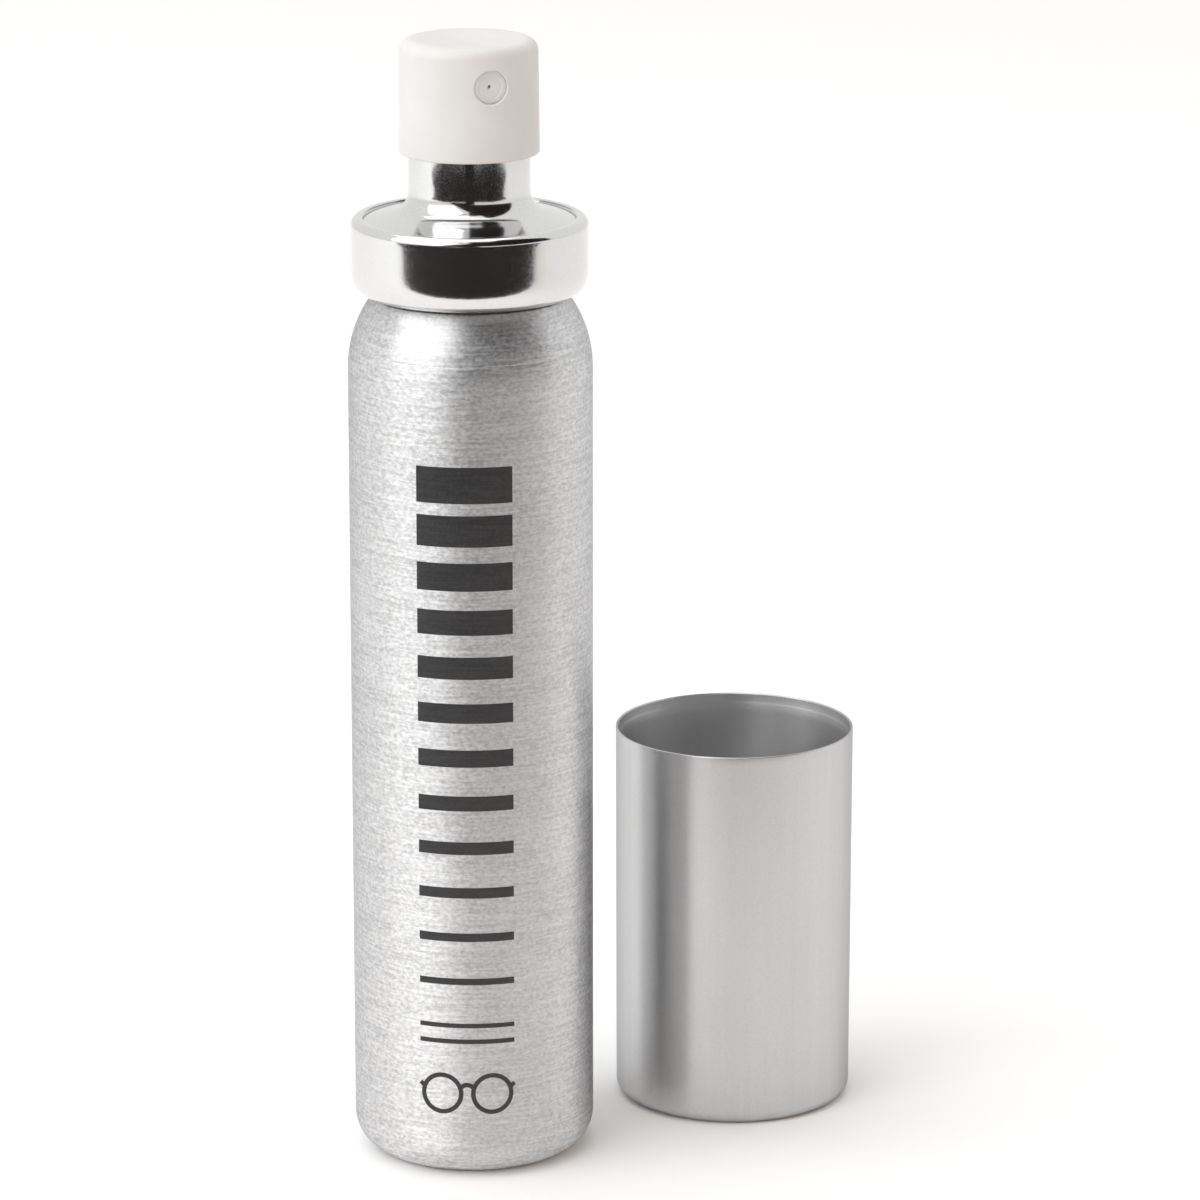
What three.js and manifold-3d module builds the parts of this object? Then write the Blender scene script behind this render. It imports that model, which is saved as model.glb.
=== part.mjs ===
// Pocket lens-cleaning spray: an aluminium bottle with a crimped fine-mist pump, and its pull-off cap standing
// beside it with the mouth up. Millimetres, +Z up. The origin is the centre of the bottle's flat base.
// The printed front of the bottle faces -Y.
import * as THREE from "three";
import { mergeVertices } from "three/addons/utils/BufferGeometryUtils.js";
import Module from "manifold-3d";

const wasm = await Module();
wasm.setup();

// ---- Driving dimensions ----
const RUN = 0.05; // running clearance between sliding or seated pieces

// Bottle: impact-extruded aluminium with a spherical shoulder and a rolled bead for a 20 mm crimp pump
const BODY_R = 11;
const BODY_WALL = 0.45;
const BASE_ROUND = 3.3;
const BASE_THICK = 0.8;
const SHOULDER_Z = 73.5; // centre of the shoulder's sphere
const NECK_R = 7.8; // outside of the neck below the bead
const NECK_Z = 81; // top of the fillet between shoulder and neck
const NECK_FILLET = 0.8;
const BEAD_Z = 83.05; // centre of the rolled bead
const BEAD_R = 1.4; // outside radius of the bead's roll

// Ferrule: drawn aluminium, crimped under the bead, with a turret for the pump
const FERRULE_R = 10.62;
const FERRULE_WALL = 0.4;
const LIP_Z = 82.3; // centre of the crimped lip's curve
const RIM_Z = 86.55; // centre of the rounded top rim
const RIM_ROUND = 0.75;
const CONE_SLOPE = 18; // degrees that the top falls from turret to rim
const TURRET_R = 5.46;
const TURRET_FILLET = 1.9;
const TURRET_FOOT_Z = 89.65; // where the turret's fillet ends
const TURRET_TOP_Z = 93.5;
const TURRET_HOLE_R = 3.3;

// Pump housing and what seals it
const GASKET_THICK = 0.8;
const FLANGE_R = 9.5;
const FLANGE_THICK = 1.1;
const CHAMBER_R = 2.8;
const CHAMBER_TOP_Z = 88.5;
const LEDGE_Z = 68.7; // the return spring stands here
const CAGE_R = 1.6;
const SEAT_TOP_Z = 66.4;
const THROAT_R = 0.8;
const SOCKET_TOP_Z = 64.4;
const SOCKET_BOTTOM_Z = 58.2;
const BALL_R = 1.25;
const BALL_LIFT = 0.6;
const TUBE_R = 1.5; // dip tube
const TUBE_BORE_R = 0.9;
const TUBE_END_Z = 1.6;
const TUBE_BEND = 4.2; // how far the dip tube's foot leans towards the wall

// Moving stack: stem, rod, piston and springs, at the top of the stroke
const STROKE = 4;
const STEM_R = 1.75;
const STEM_BORE_R = 0.7;
const STEM_TUBE_R = 1.3;
const STEM_TOP_Z = 98.25;
const STEM_FLANGE_Z = 87;
const STEM_FOOT_Z = 80.6;
const SEAL_THICK = 0.7;
const PISTON_Z = 80; // underside of the piston's hub
const PISTON_H = 3.95;
const ROD_HEAD_Z = 78.75;

// Actuator and its nozzle
const BUTTON_FOOT_Z = 93.1;
const BUTTON_TOP_Z = 103.3;
const BUTTON_FOOT_R = 6.28;
const BUTTON_TOP_R = 6.18;
const BUTTON_ROUND = 1.1;
const BUTTON_BORE_R = 5.62;
const BUTTON_CEILING_Z = 101.4;
const BUTTON_DISH = 0.35;
const NOZZLE_Z = 99.85;
const NOZZLE_R = 1.7; // recess for the insert
const NOZZLE_BOSS_R = 2.1;
const NOZZLE_FACE_Y = 5.85; // distance of the insert's face from the axis
const NOZZLE_YAW = 20; // degrees that the nozzle is turned from the printed front

// Cap
const CAP_R = 11;
const CAP_MOUTH_R = 11.1;
const CAP_WALL = 0.4;
const CAP_ROUND = 1.2;
const CAP_H = 35.8;
const CAP_X = 24.2;
const CAP_Y = 14.6;

// Facets round a full turn
const WIDE = 36;
const NARROW = 24;
const WIRE = 6;

// Heights worked out from the dimensions above
const gasketLow = BEAD_Z + BEAD_R + RUN;
const gasketHigh = gasketLow + GASKET_THICK;
const flangeLow = gasketHigh + RUN;
const flangeHigh = flangeLow + FLANGE_THICK;
const sealLow = CHAMBER_TOP_Z + 0.1;
const sealHigh = sealLow + SEAL_THICK;
const bossFoot = TURRET_TOP_Z + 1.6; // lower end of the actuator's boss
const wellZ = bossFoot - STROKE - 0.35; // floor of the bush's well, which the boss dips into
const ballZ = SEAT_TOP_Z - CAGE_R + BALL_R * Math.SQRT2 + 0.03; // the ball rests in a 45 degree seat

// ---- Helpers ----
const rad = THREE.MathUtils.degToRad;
const v2 = (r, z) => new THREE.Vector2(r, z);

// Points on an arc in the radius-height plane, from one angle to another in degrees.
function arc(r, z, radius, from, to, steps) {
  return Array.from({ length: steps + 1 }, (_, i) => {
    const a = rad(from + ((to - from) * i) / steps);
    return v2(r + radius * Math.cos(a), z + radius * Math.sin(a));
  });
}

// Turns a profile about Z. A profile runs anticlockwise, with radius to the right and height up.
function revolve(profile, segments, closed) {
  const points = closed ? [...profile, profile[0].clone()] : profile;
  return new THREE.LatheGeometry(points, segments).rotateX(Math.PI / 2);
}

const ring = (inner, outer, low, high, segments) =>
  revolve([v2(inner, low), v2(outer, low), v2(outer, high), v2(inner, high)], segments, true);

function rod(radius, low, high, segments) {
  return revolve([v2(0, low), v2(radius, low), v2(radius, high), v2(0, high)], segments, false);
}

function solid(geometry) {
  const bare = geometry.clone();
  bare.deleteAttribute("normal");
  bare.deleteAttribute("uv");
  const merged = mergeVertices(bare, 1e-4);
  return new wasm.Manifold(
    new wasm.Mesh({
      numProp: 3,
      vertProperties: merged.attributes.position.array,
      triVerts: new Uint32Array(merged.index.array),
    }),
  );
}

function geometryOf(manifold) {
  const mesh = manifold.getMesh();
  const geometry = new THREE.BufferGeometry();
  geometry.setAttribute("position", new THREE.BufferAttribute(mesh.vertProperties, 3));
  geometry.setIndex(new THREE.BufferAttribute(mesh.triVerts, 1));
  geometry.computeVertexNormals();
  return geometry;
}

// A cylinder that points along -Y at a height, between two distances from the axis.
function frontRod(radius, near, far, height, segments) {
  return rod(radius, near, far, segments).rotateX(Math.PI / 2).translate(0, 0, height);
}

// ---- Materials ----
const finish = (color, roughness, metalness) => new THREE.MeshStandardMaterial({ color, roughness, metalness });
const brushedAluminium = finish(0xc9c9cb, 0.34, 1);
const brightAluminium = finish(0xe6e6e6, 0.08, 1);
const satinAluminium = finish(0xbdbdbf, 0.42, 1);
const whitePlastic = finish(0xf1efed, 0.45, 0);
const naturalPlastic = finish(0xe6e6e0, 0.5, 0);
const softPlastic = finish(0xdcdcd8, 0.55, 0);
const sealRubber = finish(0x3a3a3c, 0.8, 0);
const springSteel = finish(0xb4b6ba, 0.25, 1);

const spray = new THREE.Group();

function add(parent, name, geometry, material) {
  const mesh = new THREE.Mesh(geometry, material);
  mesh.name = name;
  parent.add(mesh);
  return mesh;
}

// ---- Bottle ----
function bottleShell() {
  const roundR = BODY_R - BASE_ROUND;
  const beadR = NECK_R + BEAD_R - BODY_WALL;
  const innerR = BODY_R - BODY_WALL;
  const filletR = NECK_R + NECK_FILLET;
  return revolve(
    [
      v2(0, 0),
      ...arc(roundR, BASE_ROUND, BASE_ROUND, -90, 0, 5),
      ...arc(0, SHOULDER_Z, BODY_R, 0, 37, 5),
      ...arc(filletR, NECK_Z, NECK_FILLET, 270, 180, 2),
      ...arc(beadR, BEAD_Z, BEAD_R - BODY_WALL, 180, -60, 5),
      ...arc(beadR, BEAD_Z, BEAD_R, -60, 180, 7),
      ...arc(filletR, NECK_Z, NECK_FILLET + BODY_WALL, 180, 262, 2),
      ...arc(0, SHOULDER_Z, innerR, 33, 0, 4),
      ...arc(roundR, BASE_THICK + BASE_ROUND - BODY_WALL, BASE_ROUND - BODY_WALL, 0, -90, 3),
      v2(0, BASE_THICK),
    ],
    WIDE,
    false,
  );
}

// ---- Ferrule ----
function crimpFerrule() {
  const lipR = NECK_R + BEAD_R - BODY_WALL; // the lip curls about the bead's own circle
  const lipOut = FERRULE_R - lipR;
  const rimR = FERRULE_R - RIM_ROUND;
  const filletR = TURRET_R + TURRET_FILLET;
  const foot = 270 - CONE_SLOPE;
  const topRound = 0.5;
  const grooveR = rimR - 0.2;
  const coneRun = grooveR - (filletR + TURRET_FILLET * Math.cos(rad(foot)));
  const grooveZ = TURRET_FOOT_Z + TURRET_FILLET * Math.sin(rad(foot)) - coneRun * Math.tan(rad(CONE_SLOPE));
  return revolve(
    [
      ...arc(lipR, LIP_Z, lipOut, -78, 0, 5),
      ...arc(rimR, RIM_Z, RIM_ROUND, 0, 100, 4),
      v2(grooveR, grooveZ),
      ...arc(filletR, TURRET_FOOT_Z, TURRET_FILLET, foot, 180, 4),
      ...arc(TURRET_R - topRound, TURRET_TOP_Z - topRound, topRound, 0, 90, 2),
      v2(TURRET_HOLE_R, TURRET_TOP_Z),
      v2(TURRET_HOLE_R, TURRET_TOP_Z - FERRULE_WALL),
      ...arc(TURRET_R - topRound, TURRET_TOP_Z - topRound, topRound - FERRULE_WALL, 90, 0, 1),
      ...arc(filletR, TURRET_FOOT_Z, TURRET_FILLET + FERRULE_WALL, 180, foot, 3),
      v2(grooveR - 0.1, grooveZ - FERRULE_WALL),
      ...arc(rimR, RIM_Z, RIM_ROUND - FERRULE_WALL, 80, 0, 2),
      ...arc(lipR, LIP_Z, lipOut - FERRULE_WALL, 0, -78, 4),
    ],
    WIDE,
    true,
  );
}

// ---- Pump: fixed pieces ----
const neckGasket = () => ring(NECK_R - 0.4, FLANGE_R + 0.4, gasketLow, gasketHigh, NARROW);

function pumpHousing() {
  const tubeR = CHAMBER_R + 0.8;
  const collarR = CHAMBER_R + 0.9;
  const socketR = TUBE_R + RUN;
  const socketOuter = 2.5;
  const plugInner = 6.5;
  const plugOuter = 7.2;
  const plugZ = flangeLow - 2.8;
  const body = revolve(
    [
      v2(socketR, SOCKET_BOTTOM_Z),
      v2(socketOuter, SOCKET_BOTTOM_Z),
      v2(socketOuter, SEAT_TOP_Z - 0.9),
      v2(tubeR, LEDGE_Z - 0.7),
      v2(tubeR, flangeLow),
      v2(plugInner, flangeLow),
      v2(plugInner, plugZ),
      v2(plugOuter, plugZ),
      v2(plugOuter, flangeLow),
      v2(FLANGE_R, flangeLow),
      v2(FLANGE_R, flangeHigh),
      v2(collarR, flangeHigh),
      v2(collarR, CHAMBER_TOP_Z),
      v2(CHAMBER_R, CHAMBER_TOP_Z),
      v2(CHAMBER_R, LEDGE_Z),
      v2(CAGE_R, LEDGE_Z),
      v2(CAGE_R, SEAT_TOP_Z),
      v2(THROAT_R, SEAT_TOP_Z - (CAGE_R - THROAT_R)),
      v2(THROAT_R, SOCKET_TOP_Z),
      v2(socketR, SOCKET_TOP_Z),
    ],
    NARROW,
    true,
  );
  let made = solid(body);
  // four fins over the ball keep it in its cage
  const finInner = 0.95;
  const finLong = CAGE_R + 0.4 - finInner;
  const finHigh = 0.5;
  const finLow = ballZ + BALL_LIFT + Math.sqrt(BALL_R ** 2 - finInner ** 2) + RUN;
  for (let i = 0; i < 4; i++) {
    const fin = new THREE.BoxGeometry(finLong, 0.5, finHigh);
    fin.translate(finInner + finLong / 2, 0, finLow + finHigh / 2).rotateZ((i * Math.PI) / 2);
    made = made.add(solid(fin));
  }
  // vent port between the piston's two lips
  const vent = frontRod(0.35, CHAMBER_R - 0.5, tubeR + 0.5, PISTON_Z + PISTON_H / 2, 8);
  return geometryOf(made.subtract(solid(vent)));
}

const stemSeal = () => ring(STEM_R + RUN, CHAMBER_R + 0.95, sealLow, sealHigh, NARROW);

function turretBush() {
  const boreR = CHAMBER_R + 1.05;
  const outerR = TURRET_R - FERRULE_WALL - 0.11;
  const wellR = 3;
  const footR = 6.3;
  const topZ = TURRET_TOP_Z - FERRULE_WALL - RUN;
  return revolve(
    [
      v2(boreR, flangeHigh + RUN),
      v2(footR, flangeHigh + RUN),
      v2(footR, flangeHigh + 0.75),
      v2(outerR, flangeHigh + 1.45),
      v2(outerR, topZ - 0.25),
      v2(outerR - 0.25, topZ),
      v2(wellR, topZ),
      v2(wellR, wellZ),
      v2(STEM_R + RUN, wellZ),
      v2(STEM_R + RUN, sealHigh + RUN),
      v2(boreR, sealHigh + RUN),
    ],
    NARROW,
    true,
  );
}

// A pressed-in tube that leans gently towards the bottle's wall below its socket.
class DipTubeLine extends THREE.Curve {
  getPoint(t, target = new THREE.Vector3()) {
    const top = SOCKET_TOP_Z - 0.1;
    const z = top + (TUBE_END_Z - 1 - top) * t;
    const below = Math.max(0, (SOCKET_BOTTOM_Z - z) / SOCKET_BOTTOM_Z);
    return target.set(TUBE_BEND * below ** 2, 0, z);
  }
}

function dipTube() {
  const section = new THREE.Shape().absarc(0, 0, TUBE_R, 0, 2 * Math.PI);
  section.holes.push(new THREE.Path().absarc(0, 0, TUBE_BORE_R, 0, 2 * Math.PI, true));
  const tube = new THREE.ExtrudeGeometry(section, {
    steps: 14,
    curveSegments: 6,
    extrudePath: new DipTubeLine(),
  });
  // slanting cut across the foot, so that the tube can't seal itself against the bottom
  const cutter = new THREE.BoxGeometry(20, 20, 10);
  cutter.translate(0, 0, -5).rotateY(rad(-20)).translate(TUBE_BEND - 2 * TUBE_R, 0, TUBE_END_Z);
  return geometryOf(solid(tube).subtract(solid(cutter)));
}

// ---- Pump: moving pieces ----
function stem() {
  const flangeTop = sealLow - RUN;
  const flangeR = 2.4;
  const bevel = 0.2;
  return revolve(
    [
      v2(STEM_BORE_R, STEM_FOOT_Z),
      v2(STEM_TUBE_R, STEM_FOOT_Z),
      v2(STEM_TUBE_R, STEM_FLANGE_Z),
      v2(flangeR, STEM_FLANGE_Z),
      v2(flangeR, flangeTop - bevel),
      v2(flangeR - bevel, flangeTop),
      v2(STEM_R, flangeTop),
      v2(STEM_R, STEM_TOP_Z - bevel),
      v2(STEM_R - bevel, STEM_TOP_Z),
      v2(STEM_BORE_R, STEM_TOP_Z),
    ],
    NARROW,
    true,
  );
}

function pistonRod() {
  const headTop = PISTON_Z - RUN;
  const pinR = STEM_BORE_R - 0.08;
  const pinTop = 84.5;
  const tipZ = ROD_HEAD_Z - 2.25;
  const tipR = 1.25; // centres the return spring
  const headR = 2.35;
  const neckR = 1.9;
  const body = revolve(
    [
      v2(0, tipZ),
      v2(tipR - 0.35, tipZ),
      v2(tipR, tipZ + 0.4),
      v2(tipR, ROD_HEAD_Z),
      v2(headR, ROD_HEAD_Z),
      v2(headR, ROD_HEAD_Z + 0.45),
      v2(neckR, ROD_HEAD_Z + 0.6),
      v2(neckR, headTop),
      v2(pinR, headTop),
      v2(pinR, pinTop - 0.2),
      v2(pinR - 0.2, pinTop),
      v2(0, pinTop),
    ],
    NARROW,
    false,
  );
  // two flutes along the pin carry the liquid up into the stem
  let made = solid(body);
  for (const side of [-1, 1]) {
    const flute = new THREE.BoxGeometry(0.4, 0.3, pinTop - headTop + 0.2);
    flute.translate(side * pinR, 0, (pinTop + headTop) / 2 + 0.1);
    made = made.subtract(solid(flute));
  }
  return geometryOf(made);
}

function piston() {
  const lipR = CHAMBER_R - RUN;
  const boreR = STEM_TUBE_R + RUN;
  const waistR = 2.35;
  const hubR = 2.1;
  const top = PISTON_Z + PISTON_H;
  return revolve(
    [
      v2(boreR, PISTON_Z),
      v2(hubR - 0.15, PISTON_Z),
      v2(waistR + 0.1, PISTON_Z - 0.4),
      v2(lipR, PISTON_Z - 0.4),
      v2(lipR, PISTON_Z - 0.1),
      v2(waistR, PISTON_Z + 0.9),
      v2(waistR, top - 1.05),
      v2(lipR, top - 0.15),
      v2(lipR, top + 0.15),
      v2(lipR - 0.2, top + 0.15),
      v2(hubR + 0.05, top - 0.75),
      v2(hubR, top),
      v2(boreR, top),
    ],
    NARROW,
    true,
  );
}

class Helix extends THREE.Curve {
  constructor(radius, low, high, turns) {
    super();
    Object.assign(this, { radius, low, high, turns });
  }
  getPoint(t, target = new THREE.Vector3()) {
    const a = 2 * Math.PI * this.turns * t;
    const z = this.low + (this.high - this.low) * t;
    return target.set(this.radius * Math.cos(a), this.radius * Math.sin(a), z);
  }
}

function spring(radius, wire, low, high, turns) {
  const section = new THREE.Shape().absarc(0, 0, wire, 0, 2 * Math.PI);
  return new THREE.ExtrudeGeometry(section, {
    steps: Math.round(turns * 11),
    curveSegments: WIRE / 2,
    extrudePath: new Helix(radius, low + wire, high - wire, turns),
  });
}

const returnSpring = () => spring(2.05, 0.22, LEDGE_Z + RUN, ROD_HEAD_Z - RUN, 7);
const precompressionSpring = () => spring(1.8, 0.14, PISTON_Z + PISTON_H + RUN, STEM_FLANGE_Z - RUN, 3.5);

const checkBall = () => new THREE.SphereGeometry(BALL_R, 14, 8).rotateX(Math.PI / 2).translate(0, 0, ballZ);

// ---- Actuator, with its nozzle towards -Y ----
function actuator() {
  const roundR = BUTTON_TOP_R - BUTTON_ROUND;
  const cup = revolve(
    [
      v2(0, BUTTON_CEILING_Z),
      v2(BUTTON_BORE_R - 0.35, BUTTON_CEILING_Z),
      v2(BUTTON_BORE_R - 0.07, BUTTON_CEILING_Z - 0.3),
      v2(BUTTON_BORE_R, BUTTON_FOOT_Z + 0.15),
      v2(BUTTON_BORE_R + 0.13, BUTTON_FOOT_Z),
      v2(BUTTON_FOOT_R - 0.1, BUTTON_FOOT_Z),
      v2(BUTTON_FOOT_R, BUTTON_FOOT_Z + 0.1),
      ...arc(roundR, BUTTON_TOP_Z - BUTTON_ROUND, BUTTON_ROUND, 0, 90, 4),
      v2(roundR * 0.6, BUTTON_TOP_Z - BUTTON_DISH * 0.6),
      v2(0, BUTTON_TOP_Z - BUTTON_DISH),
    ],
    WIDE,
    false,
  );
  const inlet = NOZZLE_Z + NOZZLE_R - 0.45; // a short passage over the post
  const recessBack = 3.3;
  const postEnd = NOZZLE_FACE_Y - 0.6;
  const joined = [
    rod(2.75, bossFoot, BUTTON_CEILING_Z + 0.1, NARROW),
    frontRod(NOZZLE_BOSS_R, 2, BUTTON_BORE_R, NOZZLE_Z, NARROW),
  ];
  const cut = [
    rod(STEM_R + 0.03, bossFoot - 1, STEM_TOP_Z + 0.1, NARROW),
    rod(0.75, STEM_TOP_Z, BUTTON_CEILING_Z, 16),
    frontRod(0.4, 0, recessBack + 0.1, inlet, 12),
    frontRod(NOZZLE_R, recessBack, BUTTON_FOOT_R + 1, NOZZLE_Z, NARROW),
  ];
  let made = solid(cup);
  for (const piece of joined) {
    made = made.add(solid(piece));
  }
  for (const piece of cut) {
    made = made.subtract(solid(piece));
  }
  return geometryOf(made.add(solid(frontRod(0.8, recessBack - 0.4, postEnd, NOZZLE_Z, 16))));
}

// The nozzle insert is a small cup over the actuator's post, with its face at the top of its own Z.
function nozzleInsert() {
  const wallR = NOZZLE_R - RUN;
  const innerR = 1.05;
  const orificeR = 0.15;
  const backY = NOZZLE_FACE_Y - 2;
  const ceilingY = NOZZLE_FACE_Y - 0.5;
  const cup = revolve(
    [
      v2(innerR, backY),
      v2(wallR, backY),
      v2(wallR, NOZZLE_FACE_Y - 0.12),
      v2(wallR - 0.12, NOZZLE_FACE_Y),
      v2(orificeR + 0.4, NOZZLE_FACE_Y),
      v2(orificeR, ceilingY + 0.25),
      v2(orificeR, ceilingY),
      v2(innerR, ceilingY),
    ],
    NARROW,
    true,
  );
  // three tangential grooves spin the liquid on its way to the orifice
  let made = solid(cup);
  for (let i = 0; i < 3; i++) {
    const groove = new THREE.BoxGeometry(0.9, 0.22, 0.3);
    groove.translate(0.5, 0.22, ceilingY).rotateZ((i * 2 * Math.PI) / 3);
    made = made.subtract(solid(groove));
  }
  return geometryOf(made);
}

// ---- Cap, in its own frame with the closed end down ----
function capShell() {
  const innerR = CAP_R - CAP_WALL;
  const mouthInner = CAP_MOUTH_R - CAP_WALL;
  const leadIn = 0.9; // height of the coined lead-in at the mouth
  const floorThick = 0.5;
  const cornerIn = CAP_ROUND - CAP_WALL;
  return revolve(
    [
      v2(0, 0),
      ...arc(CAP_R - CAP_ROUND, CAP_ROUND, CAP_ROUND, -90, 0, 4),
      v2(CAP_MOUTH_R, CAP_H - 0.1),
      v2(CAP_MOUTH_R - 0.1, CAP_H),
      v2(CAP_MOUTH_R - 0.2, CAP_H),
      v2(mouthInner + 0.12, CAP_H - leadIn),
      v2(mouthInner, CAP_H - leadIn - 0.12),
      ...arc(innerR - cornerIn, floorThick + cornerIn, cornerIn, 0, -90, 2),
      v2(0, floorThick),
    ],
    WIDE,
    false,
  );
}

// ---- Assembly ----
add(spray, "bottle_shell", bottleShell(), brushedAluminium);
add(spray, "crimp_ferrule", crimpFerrule(), brightAluminium);
add(spray, "neck_gasket", neckGasket(), sealRubber);
add(spray, "pump_housing", pumpHousing(), naturalPlastic);
add(spray, "turret_bush", turretBush(), naturalPlastic);
add(spray, "stem_seal", stemSeal(), sealRubber);
add(spray, "dip_tube", dipTube(), softPlastic);
add(spray, "return_spring", returnSpring(), springSteel);
add(spray, "check_ball", checkBall(), springSteel);
add(spray, "stem", stem(), naturalPlastic);
add(spray, "piston_rod", pistonRod(), naturalPlastic);
add(spray, "precompression_spring", precompressionSpring(), springSteel);
add(spray, "piston", piston(), softPlastic);

const head = new THREE.Group();
head.rotation.z = rad(NOZZLE_YAW);
add(head, "actuator", actuator(), whitePlastic);
const insert = add(head, "nozzle_insert", nozzleInsert(), whitePlastic);
insert.rotation.x = Math.PI / 2;
insert.position.z = NOZZLE_Z;
spray.add(head);

const cap = new THREE.Group();
cap.position.set(CAP_X, CAP_Y, 0);
add(cap, "cap_shell", capShell(), satinAluminium);
spray.add(cap);

export default spray;
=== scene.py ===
import math
import bpy
from mathutils import Matrix, Vector


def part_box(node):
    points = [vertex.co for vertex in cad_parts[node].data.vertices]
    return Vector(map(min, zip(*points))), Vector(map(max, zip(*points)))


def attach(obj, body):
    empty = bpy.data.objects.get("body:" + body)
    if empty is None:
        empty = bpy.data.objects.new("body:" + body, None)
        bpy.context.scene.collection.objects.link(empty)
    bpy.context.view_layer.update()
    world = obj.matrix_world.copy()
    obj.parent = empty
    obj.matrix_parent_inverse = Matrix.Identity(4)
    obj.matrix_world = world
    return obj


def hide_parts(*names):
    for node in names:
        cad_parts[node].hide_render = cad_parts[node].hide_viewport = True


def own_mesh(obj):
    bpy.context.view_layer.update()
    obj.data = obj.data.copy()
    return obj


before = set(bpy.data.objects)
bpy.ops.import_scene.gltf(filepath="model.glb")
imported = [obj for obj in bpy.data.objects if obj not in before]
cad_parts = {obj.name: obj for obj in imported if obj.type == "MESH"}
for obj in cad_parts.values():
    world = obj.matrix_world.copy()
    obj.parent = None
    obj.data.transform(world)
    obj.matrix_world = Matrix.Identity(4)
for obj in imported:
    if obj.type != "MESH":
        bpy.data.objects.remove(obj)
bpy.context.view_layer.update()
mm = 0.001  # every size below is in millimetres until a mesh is made


# adds a node; an input is either a value or another node's socket
def put(tree, kind, inputs=None, **settings):
    node = tree.nodes.new(kind)
    for key, value in settings.items():
        setattr(node, key, value)
    for key, value in (inputs or {}).items():
        socket = node.inputs[key]
        if isinstance(value, bpy.types.NodeSocket):
            tree.links.new(value, socket)
        else:
            socket.default_value = value
    return node


def calc(tree, operation, *values):
    return put(tree, "ShaderNodeMath", dict(enumerate(values)), operation=operation).outputs[0]


def newTree(name, sockets):  # a Geometry Nodes tree with one geometry input and the named inputs
    tree = bpy.data.node_groups.new(name, "GeometryNodeTree")
    tree.interface.new_socket("Geometry", in_out="INPUT", socket_type="NodeSocketGeometry")
    for label, kind in sockets.items():
        tree.interface.new_socket(label, in_out="INPUT", socket_type="NodeSocket" + kind)
    tree.interface.new_socket("Geometry", in_out="OUTPUT", socket_type="NodeSocketGeometry")
    return tree, tree.nodes.new("NodeGroupInput").outputs


def endTree(tree, geometry, material):  # every tree ends in real, smooth, painted geometry
    real = put(tree, "GeometryNodeRealizeInstances", {0: geometry}).outputs[0]
    painted = put(tree, "GeometryNodeSetMaterial", {"Geometry": real, "Material": material}).outputs[0]
    tree.links.new(painted, tree.nodes.new("NodeGroupOutput").inputs[0])


def smoothed(tree, geometry, hardAngle=32):  # smooth faces, with hard edges where the surface turns sharply
    soft = put(tree, "GeometryNodeSetShadeSmooth", {"Geometry": geometry}, domain="FACE").outputs[0]
    angle = put(tree, "GeometryNodeInputMeshEdgeAngle").outputs["Unsigned Angle"]
    hard = calc(tree, "GREATER_THAN", angle, math.radians(hardAngle))
    edges = {"Geometry": soft, "Selection": hard, "Shade Smooth": False}
    return put(tree, "GeometryNodeSetShadeSmooth", edges, domain="EDGE").outputs[0]


def meshOf(piece):  # a copy of the piece's mesh with its modifiers applied
    bpy.context.view_layer.update()
    graph = bpy.context.evaluated_depsgraph_get()
    evaluated = piece.evaluated_get(graph)
    return bpy.data.meshes.new_from_object(evaluated, preserve_all_data_layers=True, depsgraph=graph)


def runTree(name, tree, values, mesh=None):  # runs a tree and keeps its result as a plain mesh
    piece = bpy.data.objects.new(name, mesh or bpy.data.meshes.new(name))
    bpy.context.scene.collection.objects.link(piece)
    modifier = piece.modifiers.new("build", "NODES")
    modifier.node_group = tree
    for socket in tree.interface.items_tree:
        if socket.in_out == "INPUT" and socket.name in values:
            modifier[socket.identifier] = values[socket.name]
    made = meshOf(piece)
    for slot in reversed(range(len(made.materials))):
        if not made.materials[slot]:
            made.materials.pop(index=slot)
    piece.modifiers.remove(modifier)
    piece.data = made
    made.name = name
    return piece


studio = {
    "cameraPlace": (11.63, -542.7, 197.2),
    "cameraTilt": 15.0,  # degrees below the horizon
    "lens": 185.9,
    "floorSize": 6000,
    "floorTone": (0.92, 0.92, 0.92),
    "worldLight": 0.91,
    "worldTint": (1.0, 0.993, 0.985),
    "darkTone": (0.02, 0.018, 0.018),
    "warmTone": (0.58, 0.48, 0.4),
}

softboxes = {
    "key_light": {"place": (-795, -600, 740), "aim": (0, 0, 60), "size": (1240, 1040), "brightness": 1.75},
    "top_light": {"place": (-100, 0, 700), "aim": (0, 0, 0), "size": (600, 600), "brightness": 1.0},
}

darkCards = {  # the corners of black cards that only the metal sees, as its dark reflections
    "table_edge_card": [(-620, -167, 1), (-1220, -1180, 1), (1220, -1180, 1), (620, -167, 1)],
    "front_card": [(-450, -600, 60), (0, -600, 60), (0, -600, 600), (-70, -600, 460), (-260, -600, 190)],
    "right_card": [(0, -600, 125), (620, -50, 125), (620, -50, 2400), (0, -600, 2400)],
    "low_card": [(-60, -600, 45), (110, -600, 45), (110, -600, 125), (-60, -600, 125)],
    "softbox_frame": [(-600, -150, 800), (-60, -600, 800), (-60, -600, 900), (-600, -150, 900)],
}

warmCard = [(30, -420, 0), (440, -90, 0), (440, -90, 560), (30, -420, 560)]  # shades the right of the plastic


def stageMaterial(name, color):
    material = bpy.data.materials.new(name)
    material.use_nodes = True
    shader = material.node_tree.nodes["Principled BSDF"]
    shader.inputs["Base Color"].default_value = (*color, 1)
    shader.inputs["Roughness"].default_value = 0.9
    shader.inputs["Specular IOR Level"].default_value = 0.0
    return material


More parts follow.
